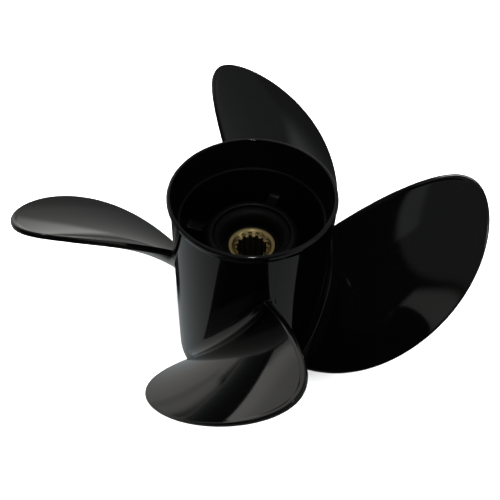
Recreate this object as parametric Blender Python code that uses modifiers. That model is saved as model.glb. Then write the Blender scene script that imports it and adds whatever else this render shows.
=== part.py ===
"""Four-blade propeller of an outboard motor, with the exhaust led through its barrel.

Metres, +Z up. The origin is on the shaft's axis in the plane of the barrel's forward end, on which
the propeller stands, and +Z points aft. It is right-handed: seen from aft it turns clockwise.
The real object is one aluminium casting, a rubber bush pressed into it and a splined brass sleeve.
"""

import math

import bmesh
import bpy
import numpy as np

MM = 0.001

# Driving dimensions
TIP_RADIUS = 168.3 * MM
BARREL_RADIUS = 57.3 * MM
BARREL_LENGTH = 159.6 * MM
RIM_RADIUS = 59.6 * MM
BARREL_WALL = 6.3 * MM
MOUTH_DEPTH = 23.5 * MM
HUB_RADIUS = 35.0 * MM
HUB_DEPTH = 38.0 * MM
SOCKET_RADIUS = 28.0 * MM
SLEEVE_RADIUS = 17.3 * MM
SLEEVE_DEPTH = 51.0 * MM
GAP = 0.3 * MM

# Where the inner pieces start, above the barrel's forward end
HUB_START = 8.0 * MM
SLEEVE_START = 11.0 * MM
BUSH_START = 16.0 * MM
HUB_END = BARREL_LENGTH - HUB_DEPTH
SLEEVE_END = BARREL_LENGTH - SLEEVE_DEPTH
BUSH_END = HUB_END - 1.5 * MM
BUSH_SEAT = SLEEVE_END - 2.5 * MM

# Splines
SPLINE_TEETH = 15
SPLINE_ROOT_RADIUS = 13.2 * MM
SPLINE_TIP_RADIUS = 11.2 * MM
SPLINE_LEAD_RADIUS = 14.4 * MM
SPLINE_LEAD_DEPTH = 2.5 * MM

# Ribs
RIB_COUNT = 4
RIB_THICKNESS = 9.0 * MM
RIB_START = 10.0 * MM
RIB_END = BARREL_LENGTH - 47.0 * MM

# Blades: lengths along the shaft are per radian of turn for the pitch
BLADE_COUNT = 4
BLADE_TURN = math.radians(-13.4)
PITCH_ROOT = 87.4 * MM
PITCH_SLOPE = 12.7 * MM
PITCH_BEND = -20.8 * MM
BLADE_HEIGHT = 74.8 * MM
RAKE = 45.0 * MM
RAKE_BEND = 1.5 * MM
SWEEP_START = -0.112
SWEEP = 0.229
SWEEP_TIP = 0.144
HALF_WIDTH = 0.527
WIDENING = 0.029
ROOT_THICKNESS = 6.8 * MM
TIP_THICKNESS = 3.6 * MM
LEADING_THICKNESS = 2.5 * MM
TRAILING_THICKNESS = 4.0 * MM
HOLLOW = 3.3 * MM
EDGE_DEPTH = 1.4 * MM
BEAD_HEIGHT = 0.5 * MM
BEAD_WIDTH = 3.6 * MM

# Root fillets at the leading edge, middle and trailing edge: up the blade, and along the barrel
PRESSURE_REACH = (5.0 * MM, 12.0 * MM, 3.0 * MM)
PRESSURE_SPREAD = (5.0 * MM, 8.0 * MM, 2.0 * MM)
SUCTION_REACH = (3.5 * MM, 5.0 * MM, 3.0 * MM)
SUCTION_SPREAD = (3.5 * MM, 4.0 * MM, 2.5 * MM)
FILLET_TURN = math.radians(68.0)
ROOT_SINK = 2.6 * MM

# Mesh fineness
BARREL_STEPS = 64
HUB_STEPS = 48
CHORD_CELLS = 14
SPAN_CELLS = 9
FILLET_CELLS = 4
EDGE_ROWS = 3

PAINT = ("gloss black paint", (0.004, 0.004, 0.005, 1.0), 0.12, 0.0)
RUBBER = ("black rubber", (0.012, 0.012, 0.012, 1.0), 0.75, 0.0)
BRASS = ("brass", (0.58, 0.42, 0.16, 1.0), 0.3, 1.0)


def clear_scene():
    """Remove every object that the file opened with."""
    for item in list(bpy.data.objects):
        bpy.data.objects.remove(item, do_unlink=True)


def new_collection(name):
    """A collection under the scene's own."""
    made = bpy.data.collections.new(name)
    bpy.context.scene.collection.children.link(made)
    return made


def new_material(name, color, roughness, metallic):
    """One Principled BSDF material."""
    made = bpy.data.materials.new(name)
    made.use_nodes = True
    shader = made.node_tree.nodes["Principled BSDF"]
    shader.inputs["Base Color"].default_value = color
    shader.inputs["Roughness"].default_value = roughness
    shader.inputs["Metallic"].default_value = metallic
    made.diffuse_color = color
    return made


def new_object(name, mesh, collection):
    """Link a mesh as an object."""
    made = bpy.data.objects.new(name, mesh)
    collection.objects.link(made)
    return made


def mark_tool(item):
    """Show a piece that only joins or cuts another as wire."""
    item.hide_render = True
    item.display_type = "WIRE"


def turned(name, profile, steps, collection):
    """Spin a closed profile of (radius, height) points about Z. It runs down its outer side."""
    count = len(profile)
    mesh = bpy.data.meshes.new(name)
    corners = [(radius, 0.0, height) for radius, height in profile]
    mesh.from_pydata(corners, [(i, (i + 1) % count) for i in range(count)], [])
    made = new_object(name, mesh, collection)
    screw = made.modifiers.new("spin", "SCREW")
    screw.axis = "Z"
    screw.angle = math.tau
    screw.screw_offset = 0.0
    screw.steps = steps
    screw.render_steps = steps
    screw.use_merge_vertices = True
    screw.merge_threshold = 0.00001
    return made


def boolean(target, tool, operation):
    """Join a tool to the target, or cut it out."""
    mark_tool(tool)
    step = target.modifiers.new(tool.name, "BOOLEAN")
    step.operation = operation
    step.solver = "EXACT"
    step.object = tool


def rounded(corner, first, last, radius, cells=2):
    """Points of an arc about a corner's centre, between two angles in degrees."""
    turns = np.radians(np.linspace(first, last, cells + 1))
    return [(corner[0] + radius * math.cos(t), corner[1] + radius * math.sin(t)) for t in turns]


def barrel_profile():
    """Outside down from the aft lip, round the forward end, and up past the ledge to the lip."""
    inner = BARREL_RADIUS - BARREL_WALL
    ledge = BARREL_LENGTH - MOUTH_DEPTH
    lip = 1.3 * MM
    lip_centre = (RIM_RADIUS - lip, BARREL_LENGTH - lip)
    foot = 2.0 * MM
    outside = [
        (RIM_RADIUS, BARREL_LENGTH - 2.2 * MM),
        (BARREL_RADIUS + 0.3 * MM, BARREL_LENGTH - 6.8 * MM),
        (BARREL_RADIUS, BARREL_LENGTH - 8.4 * MM),
        (BARREL_RADIUS, foot),
        (BARREL_RADIUS - foot, 0.0),
        (inner + 0.8 * MM, 0.0),
        (inner, 0.8 * MM),
    ]
    inside = [
        (inner, ledge - 1.2 * MM),
        (inner + 0.5 * MM, ledge),
        (inner + 1.4 * MM, ledge),
        (inner + 1.8 * MM, ledge + 1.0 * MM),
    ]
    return rounded(lip_centre, 90, 0, lip) + outside + inside + rounded(lip_centre, 180, 90, lip)[:-1]


def hub_profile():
    """Inner hub: a tapered tube whose aft end is rounded outside and sharp at the bush's socket."""
    crown = 5.5 * MM
    centre = (HUB_RADIUS - crown, HUB_END - crown)
    forward = HUB_RADIUS + 1.0 * MM
    chamfer = 1.0 * MM
    down = [(forward, HUB_START + chamfer), (forward - chamfer, HUB_START)]
    up = [(SOCKET_RADIUS + chamfer, HUB_START), (SOCKET_RADIUS, HUB_START + chamfer)]
    mouth = [(SOCKET_RADIUS, HUB_END - 0.6 * MM), (SOCKET_RADIUS + 0.6 * MM, HUB_END)]
    return rounded(centre, 90, 0, crown, 4) + down + up + mouth


def bush_profile():
    """Rubber bush, whose collar stands up round the sleeve's aft end and is rounded inside."""
    outer = SOCKET_RADIUS - GAP
    inner = SLEEVE_RADIUS + GAP
    collar = inner + 3.0 * MM
    crown = 4.0 * MM
    edge = 1.0 * MM
    body = [
        (outer - edge, BUSH_END),
        (outer, BUSH_END - edge),
        (outer, BUSH_START),
        (inner, BUSH_START),
        (inner, BUSH_SEAT),
        (collar, BUSH_SEAT),
    ]
    return body + rounded((collar + crown, BUSH_END - crown), 180, 90, crown, 4)


def sleeve_profile():
    """Brass sleeve as a plain tube, before its splines are cut."""
    edge = 0.6 * MM
    bore = SPLINE_TIP_RADIUS - 2.0 * MM
    return [
        (SLEEVE_RADIUS - edge, SLEEVE_END),
        (SLEEVE_RADIUS, SLEEVE_END - edge),
        (SLEEVE_RADIUS, SLEEVE_START + edge),
        (SLEEVE_RADIUS - edge, SLEEVE_START),
        (bore, SLEEVE_START),
        (bore, SLEEVE_END),
    ]


def spline_cutter(collection):
    """The bore as a loft of toothed rings: corners step in and out, and both ends open as cones."""
    sides = 4 * SPLINE_TEETH
    number = np.arange(sides)
    angle = number * math.tau / sides
    slope = (SPLINE_LEAD_RADIUS - SPLINE_TIP_RADIUS) / SPLINE_LEAD_DEPTH
    beyond = 2.0 * MM
    rings = []
    for end, inward in ((SLEEVE_START, 1), (SLEEVE_END, -1)):
        depths = [-beyond, (SPLINE_LEAD_RADIUS - SPLINE_ROOT_RADIUS) / slope, SPLINE_LEAD_DEPTH]
        for depth in depths[::inward]:
            cone = SPLINE_LEAD_RADIUS - slope * depth
            toothed = np.where(number % 4 < 2, SPLINE_ROOT_RADIUS, SPLINE_TIP_RADIUS)
            radius = np.maximum(toothed, cone)
            height = np.full(sides, end + inward * depth)
            rings.append(np.stack([radius * np.cos(angle), radius * np.sin(angle), height], axis=-1))
    grid = np.arange(len(rings) * sides).reshape(len(rings), sides)
    beside = np.roll(grid, -1, axis=1)
    walls = np.stack([grid[:-1], beside[:-1], beside[1:], grid[1:]], axis=-1).reshape(-1, 4)
    mesh = bpy.data.meshes.new("spline_cutter")
    caps = [grid[0, ::-1].tolist(), grid[-1].tolist()]
    mesh.from_pydata(np.concatenate(rings).tolist(), [], walls.tolist() + caps)
    return new_object("spline_cutter", mesh, collection)


def rib(index, collection):
    """One radial web between the inner hub and the barrel, turned to its blade's root."""
    bury = 2.0 * MM
    inner = HUB_RADIUS - bury
    outer = BARREL_RADIUS - BARREL_WALL + bury
    mesh = bpy.data.meshes.new(f"rib_{index}")
    shape = bmesh.new()
    bmesh.ops.create_cube(shape, size=1.0)
    bmesh.ops.scale(shape, verts=shape.verts, vec=(outer - inner, RIB_THICKNESS, RIB_END - RIB_START))
    bmesh.ops.translate(shape, verts=shape.verts, vec=((inner + outer) / 2, 0.0, 0.0))
    shape.to_mesh(mesh)
    shape.free()
    made = new_object(f"rib_{index}", mesh, collection)
    made.location.z = (RIB_START + RIB_END) / 2
    made.rotation_euler.z = BLADE_TURN + SWEEP_START + index * math.tau / RIB_COUNT
    return made


def eased(shares):
    """Even steps from -1 or 0 to 1, drawn closer together at their ends."""
    return (shares + np.sin(shares * math.pi / 2)) / 2


def smooth(share):
    """A step from 0 to 1 that starts and ends level."""
    held = np.clip(share, 0.0, 1.0)
    return held * held * (3.0 - 2.0 * held)


def by_chord(across, ends):
    """A size along the root, from leading edge (-1) over its middle to trailing edge (1)."""
    leading, middle, trailing = ends
    at_edge = np.where(across < 0.0, leading, trailing)
    return at_edge + (middle - at_edge) * np.sqrt(1.0 - across ** 2)


def rise_rows(across, outline):
    """Each row's height over the barrel's skin.

    The first row is sunk in the wall, the next ones turn through the pressure side's fillet, and
    the others go on to the outline, which is lower towards both edges."""
    reach = by_chord(across, PRESSURE_REACH)
    turns = np.linspace(FILLET_TURN, 0.0, FILLET_CELLS + 1)[:, None]
    up = eased(np.linspace(0.0, 1.0, SPAN_CELLS + 1)[1:, None])
    rows = [np.full_like(across, -ROOT_SINK), reach * (1.0 - np.sin(turns)), reach + (outline - reach) * up]
    return np.concatenate(rows)


def root_flare(rise, across, reach, spread):
    """How far a face spreads near the barrel: a quarter ellipse, reach high and spread wide.

    It stops before it lies level and runs on straight, so that it cuts the skin at a clear angle."""
    below = np.clip(1.0 - rise / by_chord(across, reach), 0.0, None)
    arc = np.minimum(below, math.sin(FILLET_TURN))
    straight = (below - arc) * math.tan(FILLET_TURN)
    return by_chord(across, spread) * (1.0 - np.sqrt(1.0 - arc ** 2) + straight)


def blade_faces():
    """Pressure and suction faces as grids of points, spanwise by chordwise.

    A half disk, bent from a square grid, gives the outline: its flat side is the root. Radius
    grows with height in the disk and turn about the shaft with its width. Height along the shaft
    is pitch times turn plus rake. Thickness is laid off square to the helix on each cylinder. The
    pressure face is hollow, most towards the trailing edge, whose border is raised a little."""
    across = eased(np.linspace(-1.0, 1.0, CHORD_CELLS + 1))[None, :]
    span = TIP_RADIUS - EDGE_DEPTH - BARREL_RADIUS
    outline = span * np.sqrt(1.0 - across ** 2 / 2)
    rise = rise_rows(across, outline)
    along = np.clip(rise / outline, 0.0, 1.0)
    share = np.clip(rise / span, 0.0, 1.0)
    wide = across * np.sqrt(1.0 - along ** 2 / 2)
    inside = (1.0 - across ** 2) * (1.0 - along ** 2)

    radius = BARREL_RADIUS + rise
    middle = SWEEP_START + SWEEP * share + SWEEP_TIP * share ** 4
    turn = middle + HALF_WIDTH * (1.0 + WIDENING * share) * wide
    pitch = PITCH_ROOT + PITCH_SLOPE * share + PITCH_BEND * share ** 2
    height = BLADE_HEIGHT + pitch * turn + RAKE * share + RAKE_BEND * share ** 2

    aft = 0.5 + 0.5 * wide / np.sqrt(wide ** 2 + share ** 2 + 1e-9)
    edge = LEADING_THICKNESS + (TRAILING_THICKNESS - LEADING_THICKNESS) * smooth(1.6 * aft)
    full = ROOT_THICKNESS + (TIP_THICKNESS - ROOT_THICKNESS) * share
    thickness = edge + np.maximum(full - edge, 0.0) * inside
    from_edge = 0.3 * span * inside
    bead = BEAD_HEIGHT * smooth(1.0 - from_edge / BEAD_WIDTH) * smooth(2.0 * aft - 0.7)
    shift = bead - HOLLOW * (1.0 + across) * inside * smooth(along)
    pressure_flare = root_flare(rise, across, PRESSURE_REACH, PRESSURE_SPREAD)
    suction_flare = root_flare(rise, across, SUCTION_REACH, SUCTION_SPREAD)

    slant = np.arctan2(pitch, radius)
    faces = []
    for offset in (shift + pressure_flare, shift - thickness - suction_flare):
        angle = turn - offset * np.sin(slant) / radius
        lift = height + offset * np.cos(slant)
        faces.append(np.stack([radius * np.cos(angle), radius * np.sin(angle), lift], axis=-1))
    return faces


def outline_of(grid):
    """The grid's border, from the leading root round the tip to the trailing root."""
    return np.concatenate([grid[:-1, 0], grid[-1, :], grid[-2::-1, -1]])


def edge_rows(pressure, suction):
    """Points of the rounded edge, between the pressure and the suction outline.

    They are half ellipses, squarer towards the trailing edge. They stand square to the outline
    and, within the root fillet, lean over to follow the barrel."""
    front = outline_of(pressure)
    back = outline_of(suction)
    middle = (front + back) / 2
    half = (front - back) / 2
    outward = np.cross(np.gradient(middle, axis=0), half)
    outward /= np.linalg.norm(outward, axis=1, keepdims=True)
    radial = middle * (1.0, 1.0, 0.0)
    radius = np.linalg.norm(radial, axis=1, keepdims=True)
    radial /= radius
    place = np.linspace(0.0, 1.0, len(middle))[:, None]
    reach = np.where(place < 0.5, PRESSURE_REACH[0], PRESSURE_REACH[2])
    lean = 1.0 - np.clip((radius - BARREL_RADIUS) / reach, 0.0, 1.0)
    outward -= lean * radial * np.sum(outward * radial, axis=1, keepdims=True)
    outward /= np.linalg.norm(outward, axis=1, keepdims=True)
    depth = lean * np.linalg.norm(half, axis=1, keepdims=True) + (1.0 - lean) * EDGE_DEPTH
    power = 1.0 - 0.4 * (1.0 - lean) * smooth(3.0 * place - 1.0)
    rows = []
    for t in np.linspace(0.0, math.pi, EDGE_ROWS + 2)[1:-1]:
        across = math.copysign(1.0, math.cos(t)) * abs(math.cos(t)) ** power
        rows.append(middle + half * across + outward * depth * math.sin(t) ** power)
    return rows


def blade_mesh():
    """One blade as a closed mesh, its root sunk into the barrel's wall."""
    pressure, suction = blade_faces()
    rows, columns = pressure.shape[:2]
    numbers = np.arange(rows * columns).reshape(rows, columns)
    grids = [numbers, numbers + rows * columns]
    strips = [outline_of(grids[0])]
    points = [pressure.reshape(-1, 3), suction.reshape(-1, 3)]
    for row in edge_rows(pressure, suction):
        strips.append(np.arange(len(row)) + sum(len(block) for block in points))
        points.append(row)
    strips.append(outline_of(grids[1]))

    quads = []
    for grid in grids + [np.stack(strips)]:
        quads.append(np.stack([grid[:-1, :-1], grid[:-1, 1:], grid[1:, 1:], grid[1:, :-1]], axis=-1))
    root = np.stack([grids[0][0, :-1], grids[0][0, 1:], grids[1][0, 1:], grids[1][0, :-1]], axis=-1)
    faces = np.concatenate([block.reshape(-1, 4) for block in quads] + [root]).tolist()
    faces += [[int(strip[end]) for strip in strips] for end in (0, -1)]

    mesh = bpy.data.meshes.new("blade")
    mesh.from_pydata(np.concatenate(points).tolist(), [], faces)
    shape = bmesh.new()
    shape.from_mesh(mesh)
    bmesh.ops.recalc_face_normals(shape, faces=shape.faces)
    shape.to_mesh(mesh)
    shape.free()
    return mesh


def build_casting(parts, tools):
    """Barrel joined with the inner hub, the ribs and the blades."""
    casting = turned("propeller_casting", barrel_profile(), BARREL_STEPS, parts)
    boolean(casting, turned("inner_hub", hub_profile(), HUB_STEPS, tools), "UNION")
    for index in range(RIB_COUNT):
        boolean(casting, rib(index, tools), "UNION")
    shared = blade_mesh()
    for index in range(BLADE_COUNT):
        blade = new_object(f"blade_{index}", shared, tools)
        blade.rotation_euler.z = BLADE_TURN + index * math.tau / BLADE_COUNT
        boolean(casting, blade, "UNION")
    return casting


def build_sleeve(parts, tools):
    """Brass sleeve with its splined bore cut."""
    sleeve = turned("splined_sleeve", sleeve_profile(), HUB_STEPS, parts)
    boolean(sleeve, spline_cutter(tools), "DIFFERENCE")
    return sleeve


def main():
    """Build the three pieces and give each its material."""
    clear_scene()
    parts = new_collection("outboard_propeller")
    tools = new_collection("cutters")
    casting = build_casting(parts, tools)
    bush = turned("hub_bush", bush_profile(), HUB_STEPS, parts)
    sleeve = build_sleeve(parts, tools)
    for piece, finish in ((casting, PAINT), (bush, RUBBER), (sleeve, BRASS)):
        piece.data.materials.append(new_material(*finish))
        piece.data.shade_smooth()


main()
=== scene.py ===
"""Looks of a four-blade outboard propeller: gloss black casting, rubber bush, splined brass sleeve.

Metres, +Z aft along the shaft's axis, standing on the barrel's forward end, as in the frame. Every
surface is worked out with numpy on a grid of two parameters and put into a mesh in one go."""

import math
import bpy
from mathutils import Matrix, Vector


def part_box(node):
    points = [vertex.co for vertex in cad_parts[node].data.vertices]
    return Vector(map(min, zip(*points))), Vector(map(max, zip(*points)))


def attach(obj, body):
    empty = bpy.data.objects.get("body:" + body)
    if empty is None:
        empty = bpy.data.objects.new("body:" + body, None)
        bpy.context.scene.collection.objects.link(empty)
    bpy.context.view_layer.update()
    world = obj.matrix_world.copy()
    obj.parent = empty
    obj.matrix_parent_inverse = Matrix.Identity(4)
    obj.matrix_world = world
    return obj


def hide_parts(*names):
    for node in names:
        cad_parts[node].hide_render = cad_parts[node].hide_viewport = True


bl_info = {
    "name": "Outboard Propeller",
    "version": (1, 0, 0),
    "blender": (4, 5, 0),
    "location": "View3D > Sidebar > Propeller",
    "description": "Builds a cast four-blade outboard propeller with its bush, sleeve and studio",
    "category": "Add Mesh",
}

import bpy
import numpy as np
from bpy.props import FloatProperty, FloatVectorProperty, IntProperty, PointerProperty, StringProperty
from mathutils import Matrix, Vector

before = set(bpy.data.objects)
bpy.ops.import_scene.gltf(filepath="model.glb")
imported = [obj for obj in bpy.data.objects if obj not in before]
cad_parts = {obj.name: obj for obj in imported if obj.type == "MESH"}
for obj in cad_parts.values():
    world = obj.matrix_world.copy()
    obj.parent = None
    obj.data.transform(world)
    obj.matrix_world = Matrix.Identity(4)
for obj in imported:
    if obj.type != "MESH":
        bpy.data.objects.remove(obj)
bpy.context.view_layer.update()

MM = 0.001
CASTING, BUSH, SLEEVE = "propeller_casting", "hub_bush", "splined_sleeve"
CAST_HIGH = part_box(CASTING)[1]
BUSH_LOW, BUSH_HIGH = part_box(BUSH)
SLEEVE_LOW, SLEEVE_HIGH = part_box(SLEEVE)

# Gap that the frame keeps between touching solids
SEAT_GAP = 0.3 * MM


# Sizes that a user would change


class BarrelSizes(bpy.types.PropertyGroup):
    """Barrel with its flared mouth."""

    radius: FloatProperty(name="Radius", description="Outer radius of the straight barrel",
                          default=57.3 * MM, unit="LENGTH")
    length: FloatProperty(name="Length", description="From the forward end to the aft lip",
                          default=CAST_HIGH.z, unit="LENGTH")
    rim_radius: FloatProperty(name="Rim radius", description="Outer radius of the flared aft lip",
                              default=59.6 * MM, unit="LENGTH")
    wall: FloatProperty(name="Wall", description="Wall thickness below the ledge",
                        default=6.3 * MM, unit="LENGTH")
    mouth_depth: FloatProperty(name="Mouth depth", description="From the lip down to the inner ledge",
                               default=23.5 * MM, unit="LENGTH")


class HubSizes(bpy.types.PropertyGroup):
    """Inner hub, ribs and splines."""

    radius: FloatProperty(name="Hub radius", description="Outer radius of the inner hub's aft end",
                          default=35.0 * MM, unit="LENGTH")
    start: FloatProperty(name="Hub start", description="Height of the inner hub's forward end",
                         default=8.0 * MM, unit="LENGTH")
    end: FloatProperty(name="Hub end", description="Height of the inner hub's aft end",
                       default=CAST_HIGH.z - 38.0 * MM, unit="LENGTH")
    socket: FloatProperty(name="Socket radius", description="Radius of the hole that holds the bush",
                          default=BUSH_HIGH.x + SEAT_GAP, unit="LENGTH")
    rib_thickness: FloatProperty(name="Rib thickness", description="Thickness of the radial ribs",
                                 default=9.0 * MM, unit="LENGTH")
    rib_end: FloatProperty(name="Rib end", description="Height of the ribs' aft ends",
                           default=CAST_HIGH.z - 47.0 * MM, unit="LENGTH")
    teeth: IntProperty(name="Splines", description="Number of internal splines", default=15, min=6)
    spline_root: FloatProperty(name="Spline root", description="Radius over the spline grooves",
                               default=13.2 * MM, unit="LENGTH")
    spline_tip: FloatProperty(name="Spline tip", description="Radius between the spline tips",
                              default=11.2 * MM, unit="LENGTH")


class BladeSizes(bpy.types.PropertyGroup):
    """Blade outline, helix, rake and thickness."""

    count: IntProperty(name="Blades", description="Number of blades", default=4, min=2)
    turn: FloatProperty(name="Turn", description="Turn of the first blade from +X",
                        default=math.radians(-13.4), subtype="ANGLE")
    tip_radius: FloatProperty(name="Tip radius", description="Radius of the blade circle",
                              default=168.27 * MM, unit="LENGTH")
    pitch: FloatProperty(name="Pitch", description="Travel along the shaft in one radian of turn",
                         default=87.4 * MM, unit="LENGTH")
    rake: FloatProperty(name="Rake", description="Lean of the blade aft from root to tip",
                        default=45.0 * MM, unit="LENGTH")
    height: FloatProperty(name="Height", description="Height of the root's middle on the barrel",
                          default=74.8 * MM, unit="LENGTH")
    half_width: FloatProperty(name="Half width", description="Half the angle that a blade covers",
                              default=0.527, subtype="ANGLE")
    root_thickness: FloatProperty(name="Root thickness", description="Thickness at the root",
                                  default=6.8 * MM, unit="LENGTH")
    edge_thickness: FloatProperty(name="Edge thickness", description="Thickness of the trailing edge",
                                  default=4.0 * MM, unit="LENGTH")


class Finishes(bpy.types.PropertyGroup):
    """Colours as sRGB hex values."""

    paint: StringProperty(name="Paint", description="Gloss black paint", default="#010101")
    rubber: StringProperty(name="Rubber", description="Moulded rubber of the bush", default="#010101")
    brass: StringProperty(name="Brass", description="Turned brass of the sleeve", default="#E2C891")
    # Colour of the painted shade that darkens the sleeve's bore with depth
    painted_bore_shade: StringProperty(name="Grease", description="Assembly grease in the splines",
                           default="#0B0A06")
    floor: StringProperty(name="Floor", description="Pale studio floor", default="#F4F4F4")


class Studio(bpy.types.PropertyGroup):
    """Camera of the photograph's viewing angle."""

    elevation: FloatProperty(name="Elevation", description="Camera's height above the horizon",
                             default=math.radians(47.7), subtype="ANGLE")
    roll: FloatProperty(name="Roll", description="Camera's turn about its own axis",
                        default=math.radians(0.8), subtype="ANGLE")
    distance: FloatProperty(name="Distance", description="From the camera to the point it aims at",
                            default=647.0 * MM, unit="LENGTH")
    aim: FloatVectorProperty(name="Aim", description="Point that the camera looks at", size=3,
                             default=(-1.2 * MM, 0.0, 102.2 * MM), subtype="TRANSLATION")
    focal_pixels: FloatProperty(name="Focal length", description="In pixels of the photograph",
                                default=877.0)


class Settings(bpy.types.PropertyGroup):
    """Everything that a user would change."""

    barrel: PointerProperty(type=BarrelSizes)
    hub: PointerProperty(type=HubSizes)
    blades: PointerProperty(type=BladeSizes)
    finishes: PointerProperty(type=Finishes)
    studio: PointerProperty(type=Studio)


def sizes():
    """The scene's settings, by the names that register gives them."""
    return bpy.context.scene.propeller


# Meshes

# Cells round a rounded corner, and the close point that holds the straight side beyond it
ARC_CELLS = 8
HOLD_SHARE, HOLD_MOST = 0.06, 0.3 * MM


def quads_of(numbers):
    """Corner numbers of the quads of a grid of point numbers."""
    return np.stack([numbers[:-1, :-1], numbers[1:, :-1], numbers[1:, 1:], numbers[:-1, 1:]],
                    axis=-1).reshape(-1, 4)


def loop_quads(numbers):
    """Quads of a grid whose last column joins its first."""
    return quads_of(np.concatenate([numbers, numbers[:, :1]], axis=1))


def new_piece(name, surface, material, node):
    """Put a surface into a mesh, smooth it, hang it on the root body, and hide the part of model.glb
    that it stands in for.
    """
    points, quads = surface
    mesh = bpy.data.meshes.new(name)
    mesh.vertices.add(len(points))
    mesh.vertices.foreach_set("co", np.asarray(points, np.float32).ravel())
    mesh.loops.add(quads.size)
    mesh.loops.foreach_set("vertex_index", np.asarray(quads, np.int32).ravel())
    mesh.polygons.add(len(quads))
    mesh.polygons.foreach_set("loop_start", np.arange(len(quads), dtype=np.int32) * 4)
    mesh.update(calc_edges=True)
    mesh.shade_smooth()
    mesh.materials.append(material)
    piece = bpy.data.objects.new(name, mesh)
    bpy.context.scene.collection.objects.link(piece)
    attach(piece, "root")
    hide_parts(node)
    return piece


def unit(vectors):
    """The same directions at length 1."""
    return vectors / np.linalg.norm(vectors, axis=-1, keepdims=True)


def rounded_profile(corners, cells=ARC_CELLS):
    """Closed outline from corners of (radius, height, rounding).

    Each corner becomes an arc that touches both sides. With half the corner's angle, its ends lie
    rounding / tan(half) along the sides and its centre rounding / sin(half) between them. At a
    share s of its sweep, a point is sin((1 - s) sweep) of the start plus sin(s sweep) of the
    finish, over sin(sweep), seen from the centre. A close point beyond each end holds the straight
    side's direction, so that the mirror-like finish doesn't bend along it."""
    points = []
    for index, (radius, height, rounding) in enumerate(corners):
        here = np.array([radius, height])
        following = corners[(index + 1) % len(corners)]
        back = unit(np.array(corners[index - 1][:2]) - here)
        onward = unit(np.array(following[:2]) - here)
        half = math.acos(float(np.clip(back @ onward, -1.0, 1.0))) / 2
        reach = rounding / math.tan(half)
        hold = min(HOLD_SHARE * rounding, HOLD_MOST)
        centre = here + unit(back + onward) * rounding / math.sin(half)
        start = here + back * reach - centre
        finish = here + onward * reach - centre
        sweep = math.pi - 2 * half
        share = np.linspace(0.0, 1.0, cells + 1)[:, None]
        arc = np.sin((1 - share) * sweep) * start + np.sin(share * sweep) * finish
        points.append(here + back * (reach + hold))
        points.extend(centre + arc / math.sin(sweep))
        points.append(here + onward * (reach + hold))
    return np.array(points)


def rings(radius, height, steps):
    """Rows of points round Z, the last row joined to the first: x = r cos t, y = r sin t, z = height.

    The radius is a column, or a grid where it changes round the ring."""
    turn = np.arange(steps) * math.tau / steps
    grid = np.stack([radius * np.cos(turn), radius * np.sin(turn), height + 0.0 * turn], axis=-1)
    numbers = np.arange(grid.shape[0] * steps).reshape(-1, steps)
    return grid.reshape(-1, 3), loop_quads(np.concatenate([numbers, numbers[:1]]))


def turned(profile, steps):
    """A closed outline of (radius, height) carried round Z."""
    return rings(profile[:, :1], profile[:, 1:], steps)


# Blades

CHORD_CELLS, SPAN_CELLS, FILLET_CELLS, EDGE_CELLS = 128, 112, 14, 11
# What the pitch gains by the tip, evenly and by the square, and the rake by the square
PITCH_SLOPE, PITCH_BEND, RAKE_BEND = 12.7 * MM, -20.8 * MM, 1.5 * MM
# Turn of the blade's middle line in radians: at the root, what it gains evenly, and near the tip
SWEEP_START, SWEEP, SWEEP_TIP = -0.112, 0.229, 0.144
# Share by which the outline widens from root to tip
WIDENING = 0.029
TIP_THICKNESS, LEADING_THICKNESS = 3.6 * MM, 2.5 * MM
# How fast the leading edge's thickness goes over to the trailing edge's along the outline
EDGE_GROWTH = 1.6
# Hollow of the pressure side, and how far the rounded edge stands out and how square it gets
HOLLOW = 3.3 * MM
EDGE_DEPTH, EDGE_SQUARENESS = 1.4 * MM, 0.4
# Root fillets at the leading edge, middle and trailing edge: how high they reach and spread
PRESSURE_REACH, PRESSURE_SPREAD = (5.0 * MM, 12.0 * MM, 3.0 * MM), (5.0 * MM, 8.0 * MM, 2.0 * MM)
SUCTION_REACH, SUCTION_SPREAD = (3.5 * MM, 5.0 * MM, 3.0 * MM), (3.5 * MM, 4.0 * MM, 2.5 * MM)
# Inside the barrel's wall the root is wider, ends sunk, and has one more row just under the skin
UNDERLAP, ROOT_SINK, SKIN_DIP = 1.5 * MM, 2.6 * MM, 0.02 * MM
# Raised border: its size, where it starts along the outline, and the half width over the span
BEAD_HEIGHT, BEAD_WIDTH, BEAD_SIDE = 0.5 * MM, 0.6 * MM, 0.9 * MM
BEAD_START, WIDTH_TO_SPAN = 0.7, 0.6
# Keeps a share of direction from dividing by nothing at the middle of the root
TINY = 1e-9


def eased(shares):
    """Even steps drawn together at both ends: a quarter straight line and three quarters sine."""
    return (shares + 3.0 * np.sin(shares * math.pi / 2)) / 4


def smooth(share):
    """Smooth step from 0 to 1: 3 s squared - 2 s cubed."""
    held = np.clip(share, 0.0, 1.0)
    return held * held * (3.0 - 2.0 * held)


def by_chord(across, ends):
    """A size at the leading edge, middle and trailing edge, joined by quarter ellipses."""
    leading, middle, trailing = ends
    edge = np.where(across < 0.0, leading, trailing)
    return edge + (middle - edge) * np.sqrt(1.0 - across ** 2)


def outline_top(across, span):
    """Height of the blade's outline above the barrel: span times sqrt(1 - a a / 2), a being across."""
    return span * np.sqrt(1.0 - across ** 2 / 2)


def blade_rise(across, span):
    """Height above the barrel of each row of points: two sunk rows, the fillet's, the blade's.

    The fillet's rows stand at its reach times 1 - sin t, with t from a quarter turn down to 0. The
    rest go on from there to the outline, drawn together at the fillet's top and at the tip."""
    reach = by_chord(across, PRESSURE_REACH)
    turn = np.linspace(math.pi / 2, 0.0, FILLET_CELLS + 1)[:, None]
    up = eased(np.linspace(0.0, 1.0, SPAN_CELLS + 1)[1:, None])
    return np.concatenate([
        np.full_like(across, -ROOT_SINK),
        np.full_like(across, -SKIN_DIP),
        reach * (1.0 - np.sin(turn)),
        reach + (outline_top(across, span) - reach) * up,
    ])


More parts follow.
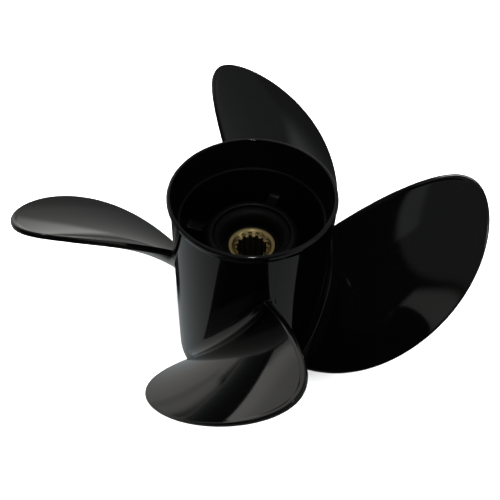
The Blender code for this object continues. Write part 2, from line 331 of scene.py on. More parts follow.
def root_flare(rise, across, reach, spread):
    """How far a face spreads near the barrel: a quarter ellipse, reach high and spread wide."""
    below = np.clip(1.0 - rise / by_chord(across, reach), 0.0, 1.0)
    sunk = np.where(rise < 0.0, UNDERLAP, 0.0)
    return by_chord(across, spread) * (1.0 - np.sqrt(1.0 - below ** 2)) + sunk


def face_offsets(blade, span, across, along, wide, high):
    """How far the blade's faces lie from its middle surface, without their fillets.

    Inside is (1 - a a)(1 - b b): 0 on the outline, 1 at the middle of the root. Both faces go in
    by the hollow times 1 + a times inside times a smooth step of b, and come out by the raised
    border where inside is small and the trailing edge near. The suction face lies behind by the
    thickness: the edge's on the outline, and the full one where inside is 1."""
    inside = (1.0 - across ** 2) * (1.0 - along ** 2)
    aft = 0.5 + 0.5 * wide / np.sqrt(wide ** 2 + high ** 2 + TINY)
    edge_gain = blade.edge_thickness - LEADING_THICKNESS
    edge = LEADING_THICKNESS + edge_gain * smooth(aft * EDGE_GROWTH)
    full = blade.root_thickness + (TIP_THICKNESS - blade.root_thickness) * high
    thickness = edge + np.maximum(full - edge, 0.0) * inside
    from_edge = inside / 2 * span * WIDTH_TO_SPAN
    bead = BEAD_HEIGHT * smooth((BEAD_WIDTH + BEAD_SIDE - from_edge) / BEAD_SIDE)
    bead = bead * smooth(aft * 2 - BEAD_START)
    pressure = bead - HOLLOW * (1.0 + across) * inside * smooth(along)
    return pressure, pressure - thickness


def blade_sides(blade, barrel):
    """Pressure and suction faces of one blade as grids of points, spanwise by chordwise.

    A half disk bent from a square of a across and b along gives the outline, with its flat side at
    the root: x = a sqrt(1 - b b / 2) and y = b sqrt(1 - a a / 2). Radius grows with y and turn about
    the shaft with x; height is pitch times turn plus rake. Each face is laid off square to the
    helix on its cylinder: turn less offset times sin(slant) / radius, height plus offset times
    cos(slant)."""
    across = eased(np.linspace(-1.0, 1.0, CHORD_CELLS + 1))[None, :]
    span = blade.tip_radius - EDGE_DEPTH - barrel.radius
    rise = blade_rise(across, span)
    along = np.clip(rise / outline_top(across, span), 0.0, 1.0)
    wide = across * np.sqrt(1.0 - along ** 2 / 2)
    high = np.clip(rise / span, 0.0, 1.0)

    radius = barrel.radius + rise
    middle = SWEEP_START + SWEEP * high + SWEEP_TIP * high ** 4
    turn = middle + blade.half_width * (1.0 + WIDENING * high) * wide
    pitch = blade.pitch + PITCH_SLOPE * high + PITCH_BEND * high ** 2
    height = blade.height + pitch * turn + blade.rake * high + RAKE_BEND * high ** 2
    slant = np.arctan2(pitch, radius)

    pressure, suction = face_offsets(blade, span, across, along, wide, high)
    pressure = pressure + root_flare(rise, across, PRESSURE_REACH, PRESSURE_SPREAD)
    suction = suction - root_flare(rise, across, SUCTION_REACH, SUCTION_SPREAD)
    sides = []
    for offset in (pressure, suction):
        angle = turn - offset * np.sin(slant) / radius
        lift = height + offset * np.cos(slant)
        sides.append(np.stack([radius * np.cos(angle), radius * np.sin(angle), lift], axis=-1))
    return sides


def outline_of(grid):
    """A grid's border, from the leading root round the tip to the trailing root."""
    return np.concatenate([grid[:-1, 0], grid[-1, :], grid[-2::-1, -1]])


def edge_rows(pressure, suction, barrel):
    """Rounded edge between the two outlines: half ellipses, squarer towards the trailing edge.

    With t from 0 to half a turn, a point is the middle, plus half the thickness times cos t, plus
    outward times sin t, both to a power, which falls over the middle third of the outline. Outward
    is square to the outline and, within the root fillet, leans over until it lies along the
    barrel."""
    front, back = outline_of(pressure), outline_of(suction)
    middle, half = (front + back) / 2, (front - back) / 2
    outward = unit(np.cross(np.gradient(middle, axis=0), half))
    radius = np.linalg.norm(middle[:, :2], axis=1, keepdims=True)
    radial = middle * (1.0, 1.0, 0.0) / radius
    leading = len(middle) // 2
    trailing = len(middle) - leading
    reach = np.repeat([PRESSURE_REACH[0], PRESSURE_REACH[2]], [leading, trailing])[:, None]
    lean = 1.0 - np.clip((radius - barrel.radius) / reach, 0.0, 1.0)
    outward = unit(outward - lean * radial * np.sum(outward * radial, axis=1, keepdims=True))
    thick = np.linalg.norm(half, axis=1, keepdims=True)
    depth = lean * thick + (1.0 - lean) * EDGE_DEPTH
    place = np.linspace(0.0, 1.0, len(middle))[:, None]
    power = (1.0 - EDGE_SQUARENESS * smooth(place * 3.0 - 1.0)) * (1.0 - lean) + lean
    rows = []
    for t in np.linspace(0.0, math.pi, EDGE_CELLS + 1)[1:-1]:
        side = np.sign(math.cos(t)) * abs(math.cos(t)) ** power
        rows.append(middle + half * side + outward * depth * math.sin(t) ** power)
    return rows


def blade_surface(blade, barrel):
    """Points and quads of one closed blade, its root sunk into the barrel's wall.

    The two faces and the rounded edge between them share their outlines. The root is closed by a
    strip between the faces, and the rounded edge's two ends each by a ladder across it."""
    pressure, suction = blade_sides(blade, barrel)
    rows, columns = pressure.shape[:2]
    front = np.arange(rows * columns).reshape(rows, columns)
    back = front + rows * columns
    strips = [outline_of(front)]
    points = [pressure.reshape(-1, 3), suction.reshape(-1, 3)]
    count = 2 * rows * columns
    for row in edge_rows(pressure, suction, barrel):
        strips.append(np.arange(len(row)) + count)
        points.append(row)
        count += len(row)
    strips.append(outline_of(back))
    strips = np.stack(strips)
    quads = [quads_of(front), quads_of(back)[:, ::-1], quads_of(strips)]
    quads.append(quads_of(np.stack([back[0], front[0]])))
    for end in (0, -1):
        rim = strips[:, end]
        ladder = np.stack([rim, rim[::-1]])[:, :EDGE_CELLS // 2 + 1]
        quads.append(quads_of(ladder[::-1] if end else ladder))
    return np.concatenate(points), np.concatenate(quads)


# Turned and toothed pieces, and ribs

BARREL_STEPS, HUB_STEPS, TOOTH_STEPS, SLEEVE_ARC_CELLS = 256, 192, 16, 5
# Aft lip: height of its straight face and of its whole flare, and thickness of the wall at its top
LIP_FACE, LIP_FLARE, LIP_WALL = 2.8 * MM, 7.4 * MM, 2.6 * MM
LEDGE_WIDTH, HUB_TAPER = 1.5 * MM, 1.0 * MM
# Where the bore's thin paint begins: this far inside the barrel's skin and above its forward end
BORE_INSET, BORE_BEGINS = 0.5 * MM, 1.0 * MM
# Collar round the sleeve's aft end: its hole's widening, its depth, and how far it stays below the
# solid's end
COLLAR_GAP, COLLAR_DEPTH, COLLAR_DROP = 3.0 * MM, 2.5 * MM, 0.7 * MM
# Splines: turn of the first one, and how steep their sides are
TOOTH_TURN, TOOTH_STEEPNESS = math.radians(84.0), 1.5
# Lead-in cone at each end of the bore, how near to it the end face goes, and the bore rows' depths
LEAD_RADIUS, LEAD_DEPTH, LEAD_MARGIN = 14.4 * MM, 2.5 * MM, 0.05 * MM
BORE_ROWS = np.concatenate([np.linspace(0.0, 1.4, 12), [1.6, 2.0, 2.6, 3.2, 4.0, 8.0]]) * MM
# Ribs: flare into the walls, depth buried in them, rounding, forward end, and inset in the taper
RIB_FLARE, RIB_BURY, RIB_ROUNDING = 4.0 * MM, 1.0 * MM, 1.6 * MM
RIB_START, RIB_INSET = 10.0 * MM, 0.6 * MM
RIB_FLARE_CELLS, RIB_CORNER_POINTS = 8, 7


def barrel_profile(barrel):
    """Down the outside from the aft lip, round the forward end and up past the ledge."""
    inner = barrel.radius - barrel.wall
    ledge = barrel.length - barrel.mouth_depth
    return rounded_profile([
        (barrel.rim_radius, barrel.length, 1.8 * MM),
        (barrel.rim_radius, barrel.length - LIP_FACE, 1.4 * MM),
        (barrel.radius, barrel.length - LIP_FLARE, 4.0 * MM),
        (barrel.radius, 0.0, 1.6 * MM),
        (inner, 0.0, 0.8 * MM),
        (inner, ledge, 0.4 * MM),
        (inner + LEDGE_WIDTH, ledge, 0.4 * MM),
        (barrel.rim_radius - LIP_WALL, barrel.length, 0.5 * MM),
    ])


def hub_profile(hub):
    """A tapered tube, its aft end well rounded outside and nearly sharp at the bush's socket."""
    return rounded_profile([
        (hub.radius, hub.end, 5.5 * MM),
        (hub.radius + HUB_TAPER, hub.start, 1.0 * MM),
        (hub.socket, hub.start, 1.0 * MM),
        (hub.socket, hub.end, 1.2 * MM),
    ])


def bush_profile():
    """Rubber tube, whose collar stands up round the sleeve's aft end and is well rounded inside."""
    outer, inner = BUSH_HIGH.x, SLEEVE_HIGH.x + SEAT_GAP
    seat, top = SLEEVE_HIGH.z - COLLAR_DEPTH, BUSH_HIGH.z - COLLAR_DROP
    return rounded_profile([
        (outer, top, 0.5 * MM),
        (outer, BUSH_LOW.z, 0.6 * MM),
        (inner, BUSH_LOW.z, 0.6 * MM),
        (inner, seat, 0.3 * MM),
        (inner + COLLAR_GAP, seat, 0.8 * MM),
        (inner + COLLAR_GAP, top, 6.0 * MM),
    ])


def sleeve_outside():
    """The sleeve's outer side and end faces as rows of (radius, height), without its bore."""
    profile = rounded_profile([
        (SLEEVE_HIGH.x, SLEEVE_HIGH.z, 0.5 * MM),
        (SLEEVE_HIGH.x, SLEEVE_LOW.z, 0.5 * MM),
        (LEAD_RADIUS, SLEEVE_LOW.z, 0.15 * MM),
        (LEAD_RADIUS, SLEEVE_HIGH.z, 0.15 * MM),
    ], SLEEVE_ARC_CELLS)
    return profile[profile[:, 0] > LEAD_RADIUS + LEAD_MARGIN]


def sleeve_surface(hub):
    """Round outside and toothed bore.

    The bore is the wider of the teeth and two end cones. The teeth go from the grooves' radius to
    the tips' by a smooth step of a steepened cosine, which cuts them off flat at both. A cone
    goes from the lead-in's radius at the face to the tips' at its depth, in a straight line."""
    steps = hub.teeth * TOOTH_STEPS
    turn = np.arange(steps) * math.tau / steps
    tooth = smooth(0.5 + TOOTH_STEEPNESS * np.cos(hub.teeth * (turn - TOOTH_TURN)))
    teeth = hub.spline_root - (hub.spline_root - hub.spline_tip) * tooth
    depth = np.concatenate([BORE_ROWS, BORE_ROWS[::-1]])
    cone = LEAD_RADIUS - (LEAD_RADIUS - hub.spline_tip) * depth / LEAD_DEPTH
    bore = np.maximum(teeth, cone[:, None])
    outside = sleeve_outside()
    radius = np.concatenate([np.repeat(outside[:, :1], steps, axis=1), bore])
    height = np.concatenate([outside[:, 1], SLEEVE_LOW.z + BORE_ROWS, SLEEVE_HIGH.z - BORE_ROWS[::-1]])
    return rings(radius, height[:, None], steps)


def rib_ends(numbers):
    """Quads that close both ends of a rib: each is a strip between the section's two sides."""
    corner = RIB_CORNER_POINTS
    ends = []
    for ring, order in ((numbers[0], -1), (numbers[-1], 1)):
        right = np.concatenate([ring[corner - 1::-1], ring[:3 * corner - 1:-1]])
        left = ring[corner:3 * corner]
        ends.append(quads_of(np.stack([right, left])[::order]))
    return ends


def rib_surface(hub, barrel, turn):
    """A rounded upright section carried outwards along a radius, flaring into both walls.

    The section is a rectangle shrunk by its rounding, plus an arc at each corner. Its offset grows
    near each wall by a quarter circle, and both ends are closed inside the walls."""
    inner, outer = hub.radius - RIB_INSET, barrel.radius - barrel.wall
    arc = np.linspace(0.0, math.pi / 2, RIB_FLARE_CELLS + 1)
    near = RIB_FLARE * (1.0 - np.cos(arc))
    flare = RIB_FLARE * (1.0 - np.sin(arc))
    flare = np.concatenate([[RIB_FLARE], flare, flare[::-1], [RIB_FLARE]])[:, None]
    out = np.concatenate([[inner - RIB_BURY], inner + near, (outer - near)[::-1], [outer + RIB_BURY]])

    half = hub.rib_thickness / 2 - RIB_ROUNDING
    low, high = RIB_START + RIB_ROUNDING, hub.rib_end - RIB_ROUNDING
    corner = np.linspace(0.0, math.pi / 2, RIB_CORNER_POINTS)
    side = np.concatenate([np.cos(corner), -np.sin(corner), -np.cos(corner), np.sin(corner)])
    rise = np.concatenate([np.sin(corner), np.cos(corner), -np.sin(corner), -np.cos(corner)])
    across = np.repeat([half, -half, -half, half], RIB_CORNER_POINTS) + (RIB_ROUNDING + flare) * side
    up = np.repeat([high, high, low, low], RIB_CORNER_POINTS) + (RIB_ROUNDING + flare) * rise

    grid = np.stack([out[:, None] + 0.0 * across, across, up], axis=-1)
    grid = grid @ np.array(Matrix.Rotation(turn, 3, "Z")).T
    numbers = np.arange(across.size).reshape(across.shape)
    return grid.reshape(-1, 3), np.concatenate([loop_quads(numbers[::-1]), *rib_ends(numbers)])


# Materials

GLOSS_ENAMEL, DRY_ENAMEL = "gloss_black_baked_enamel", "thin_black_enamel_on_cast_grain"
# Size of one bump or patch of each pattern
PEEL, CAST_GRAIN, MOULD_GRAIN, TARNISH = 3.0 * MM, 1.6 * MM, 0.6 * MM, 6.0 * MM
# Distance between the brass's rings, and how many rings a wave texture of scale 1 has in a metre
RING_SPACING, WAVE_RINGS = 0.754 * MM, 20.0 / math.tau
# What tarnish leaves of the brass's red, green and blue
TARNISH_TINT = (0.8, 0.77, 0.68, 1.0)
# Depths below the sleeve's aft face at which the painted shade down the bore begins and covers all
BORE_SHADE_BEGINS, BORE_SHADE_COVERS = 2.0 * MM, 4.5 * MM
# Edges of the sleeve that are sharper than this stay crisp
CRISP_ANGLE = math.radians(40.0)


def linear(hex_value):
    """An sRGB hex colour as linear red, green, blue and alpha."""
    channels = np.array([int(hex_value[i:i + 2], 16) for i in (1, 3, 5)]) / 255
    low = channels / 12.92
    high = ((channels + 0.055) / 1.055) ** 2.4
    return (*np.where(channels <= 0.04045, low, high).tolist(), 1.0)


def add_node(tree, kind, settings=None, inputs=None):
    """Add a node, set its properties, and set or link each named input."""
    node = tree.nodes.new(kind)
    for name, value in (settings or {}).items():
        setattr(node, name, value)
    for name, value in (inputs or {}).items():
        if isinstance(value, bpy.types.NodeSocket):
            tree.links.new(value, node.inputs[name])
        else:
            node.inputs[name].default_value = value
    return node


def new_material(name):
    """A material without nodes, and its node tree."""
    material = bpy.data.materials.new(name)
    material.use_nodes = True
    material.node_tree.nodes.clear()
    return material, material.node_tree


def gloss_enamel():
    """Baked gloss black enamel, sprayed, on the barrel's outside and the blades.

    The eye sees a deep black mirror, and a faint orange peel that unsettles its reflections."""
    material, tree = new_material(GLOSS_ENAMEL)
    place = add_node(tree, "ShaderNodeTexCoord").outputs["Object"]
    peel = add_node(tree, "ShaderNodeTexNoise",
                    inputs={"Vector": place, "Scale": 1 / PEEL, "Detail": 1.0, "Roughness": 0.4})
    bump = add_node(tree, "ShaderNodeBump", inputs={"Height": peel.outputs["Fac"], "Strength": 0.25,
                                                    "Distance": 0.01 * MM})
    shader = add_node(tree, "ShaderNodeBsdfPrincipled",
                      inputs={"Base Color": linear(sizes().finishes.paint), "Roughness": 0.06,
                              "IOR": 1.5, "Normal": bump.outputs["Normal"]})
    add_node(tree, "ShaderNodeOutputMaterial", inputs={"Surface": shader.outputs["BSDF"]})
    return material


def dry_enamel():
    """The same enamel, thin and dry inside the barrel, over the grain of the casting.

    The eye sees a dull black bore with broad weak highlights, and no mirror image in it."""
    material, tree = new_material(DRY_ENAMEL)
    place = add_node(tree, "ShaderNodeTexCoord").outputs["Object"]
    grain = add_node(tree, "ShaderNodeTexNoise",
                     inputs={"Vector": place, "Scale": 1 / CAST_GRAIN, "Detail": 4.0,
                             "Roughness": 0.6})
    bump = add_node(tree, "ShaderNodeBump", inputs={"Height": grain.outputs["Fac"], "Strength": 0.5,
                                                    "Distance": 0.05 * MM})
    shader = add_node(tree, "ShaderNodeBsdfPrincipled",
                      inputs={"Base Color": linear(sizes().finishes.paint), "Roughness": 0.4,
                              "Specular IOR Level": 0.25, "Normal": bump.outputs["Normal"]})
    add_node(tree, "ShaderNodeOutputMaterial", inputs={"Surface": shader.outputs["BSDF"]})
    return material


def moulded_rubber():
    """Moulded black rubber, with the fine grain of its mould.

    The eye sees the dullest black of the three, a soft ring round the brass without a highlight."""
    material, tree = new_material("moulded_black_rubber")
    place = add_node(tree, "ShaderNodeTexCoord").outputs["Object"]
    grain = add_node(tree, "ShaderNodeTexNoise",
                     inputs={"Vector": place, "Scale": 1 / MOULD_GRAIN, "Detail": 3.0})
    bump = add_node(tree, "ShaderNodeBump", inputs={"Height": grain.outputs["Fac"], "Strength": 0.4,
                                                    "Distance": 0.04 * MM})
    shader = add_node(tree, "ShaderNodeBsdfPrincipled",
                      inputs={"Base Color": linear(sizes().finishes.rubber), "Roughness": 0.5,
                              "Specular IOR Level": 0.12, "Normal": bump.outputs["Normal"]})
    add_node(tree, "ShaderNodeOutputMaterial", inputs={"Surface": shader.outputs["BSDF"]})
    return material


def turned_brass():
    """Brass turned on a lathe, lightly tarnished, with painted shade in its splines.

    The eye sees a satin gold ring, toothed inside, that darkens down the bore, where a dark non-metal
    colour is painted in as shade. A lathe leaves rings about 0.2 mm apart about the shaft's axis. They
    are too fine to show, so they are drawn wider."""
    material, tree = new_material("turned_brass")
    place = add_node(tree, "ShaderNodeTexCoord").outputs["Object"]
    marks = add_node(tree, "ShaderNodeTexWave", {"wave_type": "RINGS", "rings_direction": "Z"},
                     {"Vector": place, "Scale": 1 / (WAVE_RINGS * RING_SPACING),
                      "Distortion": 0.6, "Detail": 1.0})
    bump = add_node(tree, "ShaderNodeBump", inputs={"Height": marks.outputs["Fac"], "Strength": 0.3,
                                                    "Distance": 0.02 * MM})
    cloud = add_node(tree, "ShaderNodeTexNoise",
                     inputs={"Vector": place, "Scale": 1 / TARNISH, "Detail": 3.0})
    bright = linear(sizes().finishes.brass)
    tarnished = tuple(channel * left for channel, left in zip(bright, TARNISH_TINT))
    metal = add_node(tree, "ShaderNodeMix", {"data_type": "RGBA"},
                     {"Factor": cloud.outputs["Fac"], "A": bright, "B": tarnished})
    # Painted shade: from the sleeve's aft face down into the bore, the brass goes over to a dark
    # non-metal colour
    height = add_node(tree, "ShaderNodeSeparateXYZ", inputs={"Vector": place}).outputs["Z"]
    unshaded = add_node(tree, "ShaderNodeMapRange", {"interpolation_type": "SMOOTHSTEP"},
                     {"Value": height, "From Min": SLEEVE_HIGH.z - BORE_SHADE_COVERS,
                      "From Max": SLEEVE_HIGH.z - BORE_SHADE_BEGINS}).outputs["Result"]
    colour = add_node(tree, "ShaderNodeMix", {"data_type": "RGBA"},
                      {"Factor": unshaded, "A": linear(sizes().finishes.painted_bore_shade),
                       "B": metal.outputs["Result"]})
    shader = add_node(tree, "ShaderNodeBsdfPrincipled",
                      inputs={"Base Color": colour.outputs["Result"], "Roughness": 0.3,
                              "Metallic": unshaded, "Normal": bump.outputs["Normal"]})
    add_node(tree, "ShaderNodeOutputMaterial", inputs={"Surface": shader.outputs["BSDF"]})
    return material


def seamless_paper():
    """Matt pale paper on the floor. The eye sees one even white with a faint contact shadow."""
    material, tree = new_material("pale_seamless_paper")
    shader = add_node(tree, "ShaderNodeBsdfPrincipled",
                      inputs={"Base Color": linear(sizes().finishes.floor), "Roughness": 0.9,
                              "Specular IOR Level": 0.0})
    add_node(tree, "ShaderNodeOutputMaterial", inputs={"Surface": shader.outputs["BSDF"]})
    return material


def lit_backdrop():
    """Backdrop lit up to plain white, so that the eye sees no edge where the floor ends."""
    material, tree = new_material("pale_lit_backdrop")
    shader = add_node(tree, "ShaderNodeEmission", inputs={"Color": (1.0, 1.0, 1.0, 1.0)})
    add_node(tree, "ShaderNodeOutputMaterial", inputs={"Surface": shader.outputs["Emission"]})
    return material


# Studio

PHOTO_WIDTH, SENSOR_WIDTH = 500, 36.0
CLIP_NEAR, CLIP_FAR = 0.02, 20.0
FLOOR_RADIUS, FLOOR_STEPS, WALL_HEIGHT = 3.0, 96, 3.0
# Brightness of the room that the gloss mirrors, and what the table gains to the left
CEILING, FRONT_WALL, BACK_WALL = 0.16, 0.012, 0.22
TABLE, TABLE_GAIN, UNDERNEATH = 0.225, 0.16, 0.01
# Its tints on the right, on the left, and low on the left
RIGHT_TINT, LEFT_TINT, LOW_LEFT_TINT = "#F6FFF9", "#FFFDFA", "#F0FDFF"
# A direction is an azimuth and an elevation in degrees, and azimuth 0 is the camera's side.
# Where the room changes: the middle of its back and of its left, and the angles of each change
UP, DOWN = (0.0, 0.0, 1.0), (0.0, 0.0, -1.0)
BACK, BACK_BEGINS = (155.0, 0.0), (-15.0, 5.0)
LEFT, LEFT_BEGINS = (-130.0, 0.0), (0.0, 60.0)
WALL_TOP, TABLE_EDGE = (46.5, 49.0), (-2.0, 2.0)
SHADOW_EDGE, LOW_BEGINS = (62.0, 74.0), (25.0, 45.0)
# Patches in the room: direction, half width, half height, blur and what it adds to the brightness
SOFTBOXES = (
    ((-142.0, 13.0), 22.0, 20.0, 3.0, 0.42),
    ((66.0, 40.0), 15.0, 9.0, 4.0, 0.5),
    ((-97.0, 41.8), 14.0, 4.0, 1.5, 0.38),
    ((-18.0, 51.2), 11.0, 3.6, 1.5, 0.2),
    ((42.0, 4.0), 10.0, 6.0, 3.0, 0.2),
    ((-174.0, -12.0), 5.5, 12.0, 2.0, 0.42),
)
SHADES = (
    ((-25.0, -15.0), 45.0, 13.0, 5.0, -0.19),
    ((-161.0, -16.6), 7.0, 1.2, 0.8, -0.08),
    ((-150.5, -11.8), 4.0, 2.2, 1.2, -0.28),
    ((-140.0, -5.2), 5.0, 1.6, 0.8, -0.4),
    ((-150.0, -48.5), 9.0, 2.2, 0.7, -0.34),
    ((-158.0, -10.6), 4.5, 1.3, 1.2, -0.28),
)
# Wide light: direction, strength and the angle that it fills. Small light: the same, and its size
WIDE_FROM, WIDE_STRENGTH, WIDE_ANGLE = (-20.0, 75.0), 12.0, math.radians(100.0)
SMALL_FROM, SMALL_WATTS, SMALL_SIZE, SMALL_DISTANCE = (0.0, 80.0), 2.0, 120.0 * MM, 1.5


def towards(azimuth, elevation):
    """Unit vector of a direction: x = sin a cos e, y = -cos a cos e, z = sin e."""
    turn, lift = math.radians(azimuth), math.radians(elevation)
    return Vector((math.sin(turn) * math.cos(lift), -math.cos(turn) * math.cos(lift), math.sin(lift)))


def stage_piece(name, points, faces, material):
    """A floor or wall that isn't part of the object and that the gloss doesn't mirror."""
    mesh = bpy.data.meshes.new(name)
    mesh.from_pydata(points.tolist(), [], faces)
    mesh.materials.append(material)
    piece = bpy.data.objects.new(name, mesh)
    bpy.context.scene.collection.objects.link(piece)
    piece.visible_glossy = False
    return piece


def add_backdrop():
    """A round pale floor, and a round wall that only the camera sees, so that it shades nothing.

    The floor's border is x = R cos t, y = R sin t, and the wall stands on it."""
    turn = np.arange(FLOOR_STEPS) * math.tau / FLOOR_STEPS
    ring = np.stack([np.cos(turn), np.sin(turn), 0.0 * turn], axis=-1) * FLOOR_RADIUS
    stage_piece("studio_floor", ring, [list(range(FLOOR_STEPS))], seamless_paper())
    points = np.concatenate([ring, ring + (0.0, 0.0, WALL_HEIGHT)])
    sides = loop_quads(np.arange(2 * FLOOR_STEPS).reshape(2, FLOOR_STEPS)).tolist()
    wall = stage_piece("studio_wall", points, sides, lit_backdrop())
    wall.visible_diffuse = False
    wall.visible_shadow = False


def band(tree, direction, axis, low, high):
    """A smooth step in how far the direction leans towards an axis, between two angles."""
    lean = add_node(tree, "ShaderNodeVectorMath", {"operation": "DOT_PRODUCT"},
                    {0: direction, 1: axis}).outputs["Value"]
    return add_node(tree, "ShaderNodeMapRange", {"interpolation_type": "SMOOTHSTEP"},
                    {"Value": lean, "From Min": math.sin(math.radians(low)),
                     "From Max": math.sin(math.radians(high))}).outputs["Result"]


def soft_patch(tree, direction, centre, half_width, half_height, blur, brightness):
    """A soft-edged rectangle of light in the room, its sizes in degrees.

    It is the brightness times three masks: near the middle across, near it upwards, and in front
    rather than behind."""
    axis = towards(*centre)
    side = axis.cross(UP).normalized()
    facing = add_node(tree, "ShaderNodeVectorMath", {"operation": "DOT_PRODUCT"},
                      {0: direction, 1: axis}).outputs["Value"]
    front = add_node(tree, "ShaderNodeMath", {"operation": "GREATER_THAN"}, {0: facing, 1: 0.0})
    masks = [front.outputs[0]]
    for across, half in ((side, half_width), (side.cross(axis), half_height)):
        away = add_node(tree, "ShaderNodeVectorMath", {"operation": "DOT_PRODUCT"},
                        {0: direction, 1: across}).outputs["Value"]
        off = add_node(tree, "ShaderNodeMath", {"operation": "ABSOLUTE"}, {0: away}).outputs[0]
        masks.append(add_node(tree, "ShaderNodeMapRange", {"interpolation_type": "SMOOTHSTEP"},
                              {"Value": off, "From Min": math.sin(math.radians(half + blur)),
                               "From Max": math.sin(math.radians(half - blur))}).outputs["Result"])
    glow = brightness
    for mask in masks:
        glow = add_node(tree, "ShaderNodeMath", {"operation": "MULTIPLY"}, {0: mask, 1: glow}).outputs[0]
    return glow


def layered(tree, glow, layers):
    """A brightness that goes over to each layer's in turn, where that layer's share is 1."""
    for share, brightness in layers:
        glow = add_node(tree, "ShaderNodeMix",
                        inputs={"Factor": share, "A": glow, "B": brightness}).outputs["Result"]
    return glow


def room_glow(tree, direction, leftward):
    """Brightness of the room: dark front and grey back, ceiling, table, and the patches on them."""
    upper = layered(tree, FRONT_WALL, (
        (band(tree, direction, towards(*BACK), *BACK_BEGINS), BACK_WALL),
        (band(tree, direction, UP, *WALL_TOP), CEILING),
    ))
    glow = layered(tree, TABLE, (
        (leftward, TABLE + TABLE_GAIN),
        (band(tree, direction, DOWN, *SHADOW_EDGE), UNDERNEATH),
        (band(tree, direction, UP, *TABLE_EDGE), upper),
    ))
    for patch in SOFTBOXES + SHADES:
        added = soft_patch(tree, direction, *patch)
        glow = add_node(tree, "ShaderNodeMath", {"operation": "ADD"}, {0: glow, 1: added}).outputs[0]
    return glow


def room_tint(tree, direction, leftward):
    """Faint tint of the room: green to the right, warm to the left, blue low on the left."""
    low = band(tree, direction, DOWN, *LOW_BEGINS)
    low_left = add_node(tree, "ShaderNodeMath", {"operation": "MULTIPLY"}, {0: leftward, 1: low})
    room = add_node(tree, "ShaderNodeMix", {"data_type": "RGBA"},
                    {"Factor": leftward, "A": linear(RIGHT_TINT), "B": linear(LEFT_TINT)})
    return add_node(tree, "ShaderNodeMix", {"data_type": "RGBA"},
                    {"Factor": low_left.outputs[0], "A": room.outputs["Result"],
                     "B": linear(LOW_LEFT_TINT)}).outputs["Result"]


def add_surroundings():
    """The room that the gloss mirrors: its tint times its brightness, by direction."""
    world = bpy.data.worlds.new("studio_air")
    bpy.context.scene.world = world
    world.use_nodes = True
    tree = world.node_tree
    direction = add_node(tree, "ShaderNodeTexCoord").outputs["Generated"]
    leftward = band(tree, direction, towards(*LEFT), *LEFT_BEGINS)
    colour = add_node(tree, "ShaderNodeVectorMath", {"operation": "SCALE"},
                      {0: room_tint(tree, direction, leftward),
                       "Scale": room_glow(tree, direction, leftward)})
    tree.links.new(colour.outputs["Vector"], tree.nodes["Background"].inputs["Color"])


def add_lamp(name, kind, energy, source):
    """A lamp that shines on the propeller from a direction."""
    light = bpy.data.lights.new(name, kind)
    light.energy = energy
    lamp = bpy.data.objects.new(name, light)
    lamp.rotation_euler = towards(*source).to_track_quat("Z", "Y").to_euler()
    bpy.context.scene.collection.objects.link(lamp)
    return lamp


def add_lights():
    """A very wide soft light that the gloss doesn't mirror, and a small one that shows only in it.

    The small one gives the glints on the lip and on the blades' edges."""
    wide = add_lamp("wide_overhead", "SUN", WIDE_STRENGTH, WIDE_FROM)
    wide.data.angle = WIDE_ANGLE
    wide.visible_glossy = False
    small = add_lamp("small_overhead", "AREA", SMALL_WATTS, SMALL_FROM)
    small.data.shape = "DISK"
    small.data.size = SMALL_SIZE
    small.location = towards(*SMALL_FROM) * SMALL_DISTANCE
    small.visible_diffuse = False


def add_camera():
    """The photograph's view: looking along +Y and down, with a slight roll."""
    studio = sizes().studio
    camera = bpy.data.cameras.new("photo_camera")
    camera.sensor_width = SENSOR_WIDTH
    camera.lens = studio.focal_pixels * SENSOR_WIDTH / PHOTO_WIDTH
    camera.clip_start = CLIP_NEAR
    camera.clip_end = CLIP_FAR
    lift = studio.elevation
    away = Vector((0.0, -math.cos(lift), math.sin(lift)))
    place = Matrix.Translation(Vector(studio.aim) + away * studio.distance)
    tilt = Matrix.Rotation(math.pi / 2 - lift, 4, "X")
    viewer = bpy.data.objects.new("photo_camera", camera)
    viewer.matrix_world = place @ tilt @ Matrix.Rotation(studio.roll, 4, "Z")
    bpy.context.scene.collection.objects.link(viewer)
    bpy.context.scene.camera = viewer


# Operators


def paint_bore(mesh, barrel):
    """Give the faces inside the barrel the dry enamel, and leave its two ends gloss."""
    mesh.materials.append(dry_enamel())
    centres = np.zeros(len(mesh.polygons) * 3, np.float32)
    mesh.polygons.foreach_get("center", centres)
    x, y, z = centres.reshape(-1, 3).T
    inside = (np.hypot(x, y) < barrel.radius - BORE_INSET) & (z > BORE_BEGINS)
    mesh.polygons.foreach_set("material_index", inside.astype(np.int32))


class PROPELLER_OT_barrel(bpy.types.Operator):
    """Barrel of the casting, with its flared mouth and inner ledge"""

    bl_idname = "propeller.barrel"
    bl_label = "Barrel"

    def execute(self, context):
        barrel = sizes().barrel
        surface = turned(barrel_profile(barrel), BARREL_STEPS)
        piece = new_piece("barrel", surface, gloss_enamel(), CASTING)
        paint_bore(piece.data, barrel)
        return {"FINISHED"}


class PROPELLER_OT_inner_hub(bpy.types.Operator):
    """Inner hub of the casting and the ribs that carry it"""

    bl_idname = "propeller.inner_hub"
    bl_label = "Inner Hub and Ribs"

    def execute(self, context):
        hub, barrel, blades = sizes().hub, sizes().barrel, sizes().blades
        paint = bpy.data.materials[DRY_ENAMEL]
        new_piece("inner_hub", turned(hub_profile(hub), HUB_STEPS), paint, CASTING)
        for index in range(blades.count):
            turn = blades.turn + SWEEP_START + index * math.tau / blades.count
            surface = rib_surface(hub, barrel, turn)
            new_piece(f"rib_{index + 1}", surface, paint, CASTING)
        return {"FINISHED"}


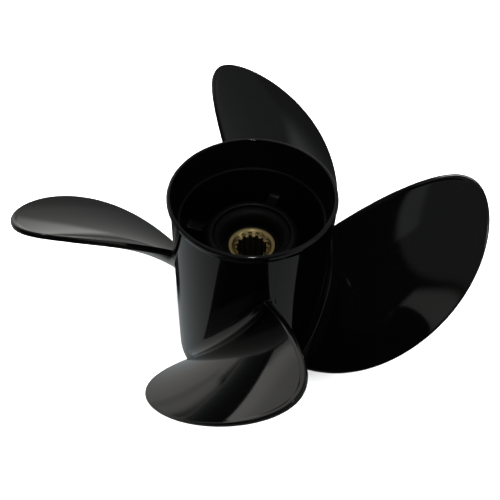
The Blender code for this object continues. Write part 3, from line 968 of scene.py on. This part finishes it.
class PROPELLER_OT_blades(bpy.types.Operator):
    """Blades of the casting, with their root fillets and rounded edges"""

    bl_idname = "propeller.blades"
    bl_label = "Blades"

    def execute(self, context):
        blades = sizes().blades
        paint = bpy.data.materials[GLOSS_ENAMEL]
        points, quads = blade_surface(blades, sizes().barrel)
        for index in range(blades.count):
            turn = blades.turn + index * math.tau / blades.count
            spin = np.array(Matrix.Rotation(turn, 3, "Z"))
            new_piece(f"blade_{index + 1}", (points @ spin.T, quads), paint, CASTING)
        return {"FINISHED"}


class PROPELLER_OT_bush(bpy.types.Operator):
    """Rubber bush between the inner hub and the sleeve"""

    bl_idname = "propeller.bush"
    bl_label = "Rubber Bush"

    def execute(self, context):
        surface = turned(bush_profile(), HUB_STEPS)
        new_piece("rubber_bush", surface, moulded_rubber(), BUSH)
        return {"FINISHED"}


class PROPELLER_OT_sleeve(bpy.types.Operator):
    """Splined brass sleeve that takes the shaft"""

    bl_idname = "propeller.sleeve"
    bl_label = "Splined Sleeve"

    def execute(self, context):
        surface = sleeve_surface(sizes().hub)
        piece = new_piece("brass_sleeve", surface, turned_brass(), SLEEVE)
        piece.data.set_sharp_from_angle(angle=CRISP_ANGLE)
        return {"FINISHED"}


class PROPELLER_OT_stage(bpy.types.Operator):
    """Pale floor, soft studio light and the photograph's camera"""

    bl_idname = "propeller.stage"
    bl_label = "Studio"

    def execute(self, context):
        add_backdrop()
        add_surroundings()
        add_lights()
        add_camera()
        context.scene.view_settings.view_transform = "Standard"
        return {"FINISHED"}


class PROPELLER_PT_panel(bpy.types.Panel):
    """Sidebar panel that lists the pieces in the order in which they are built"""

    bl_label = "Outboard Propeller"
    bl_idname = "PROPELLER_PT_panel"
    bl_space_type = "VIEW_3D"
    bl_region_type = "UI"
    bl_category = "Propeller"

    def draw(self, context):
        for step in STEPS:
            self.layout.operator(step.bl_idname)


SETTINGS = (BarrelSizes, HubSizes, BladeSizes, Finishes, Studio, Settings)
STEPS = (PROPELLER_OT_barrel, PROPELLER_OT_inner_hub, PROPELLER_OT_blades, PROPELLER_OT_bush,
         PROPELLER_OT_sleeve, PROPELLER_OT_stage)


def register():
    """Make the settings, the operators and the panel known to Blender."""
    for known in (*SETTINGS, *STEPS, PROPELLER_PT_panel):
        bpy.utils.register_class(known)
    bpy.types.Scene.propeller = PointerProperty(type=Settings)


def unregister():
    """Take them away again."""
    del bpy.types.Scene.propeller
    for known in reversed((*SETTINGS, *STEPS, PROPELLER_PT_panel)):
        bpy.utils.unregister_class(known)


def main():
    """Build every piece and the studio."""
    register()
    bpy.ops.propeller.barrel()
    bpy.ops.propeller.inner_hub()
    bpy.ops.propeller.blades()
    bpy.ops.propeller.bush()
    bpy.ops.propeller.sleeve()
    bpy.ops.propeller.stage()


if __name__ == "__main__":
    main()
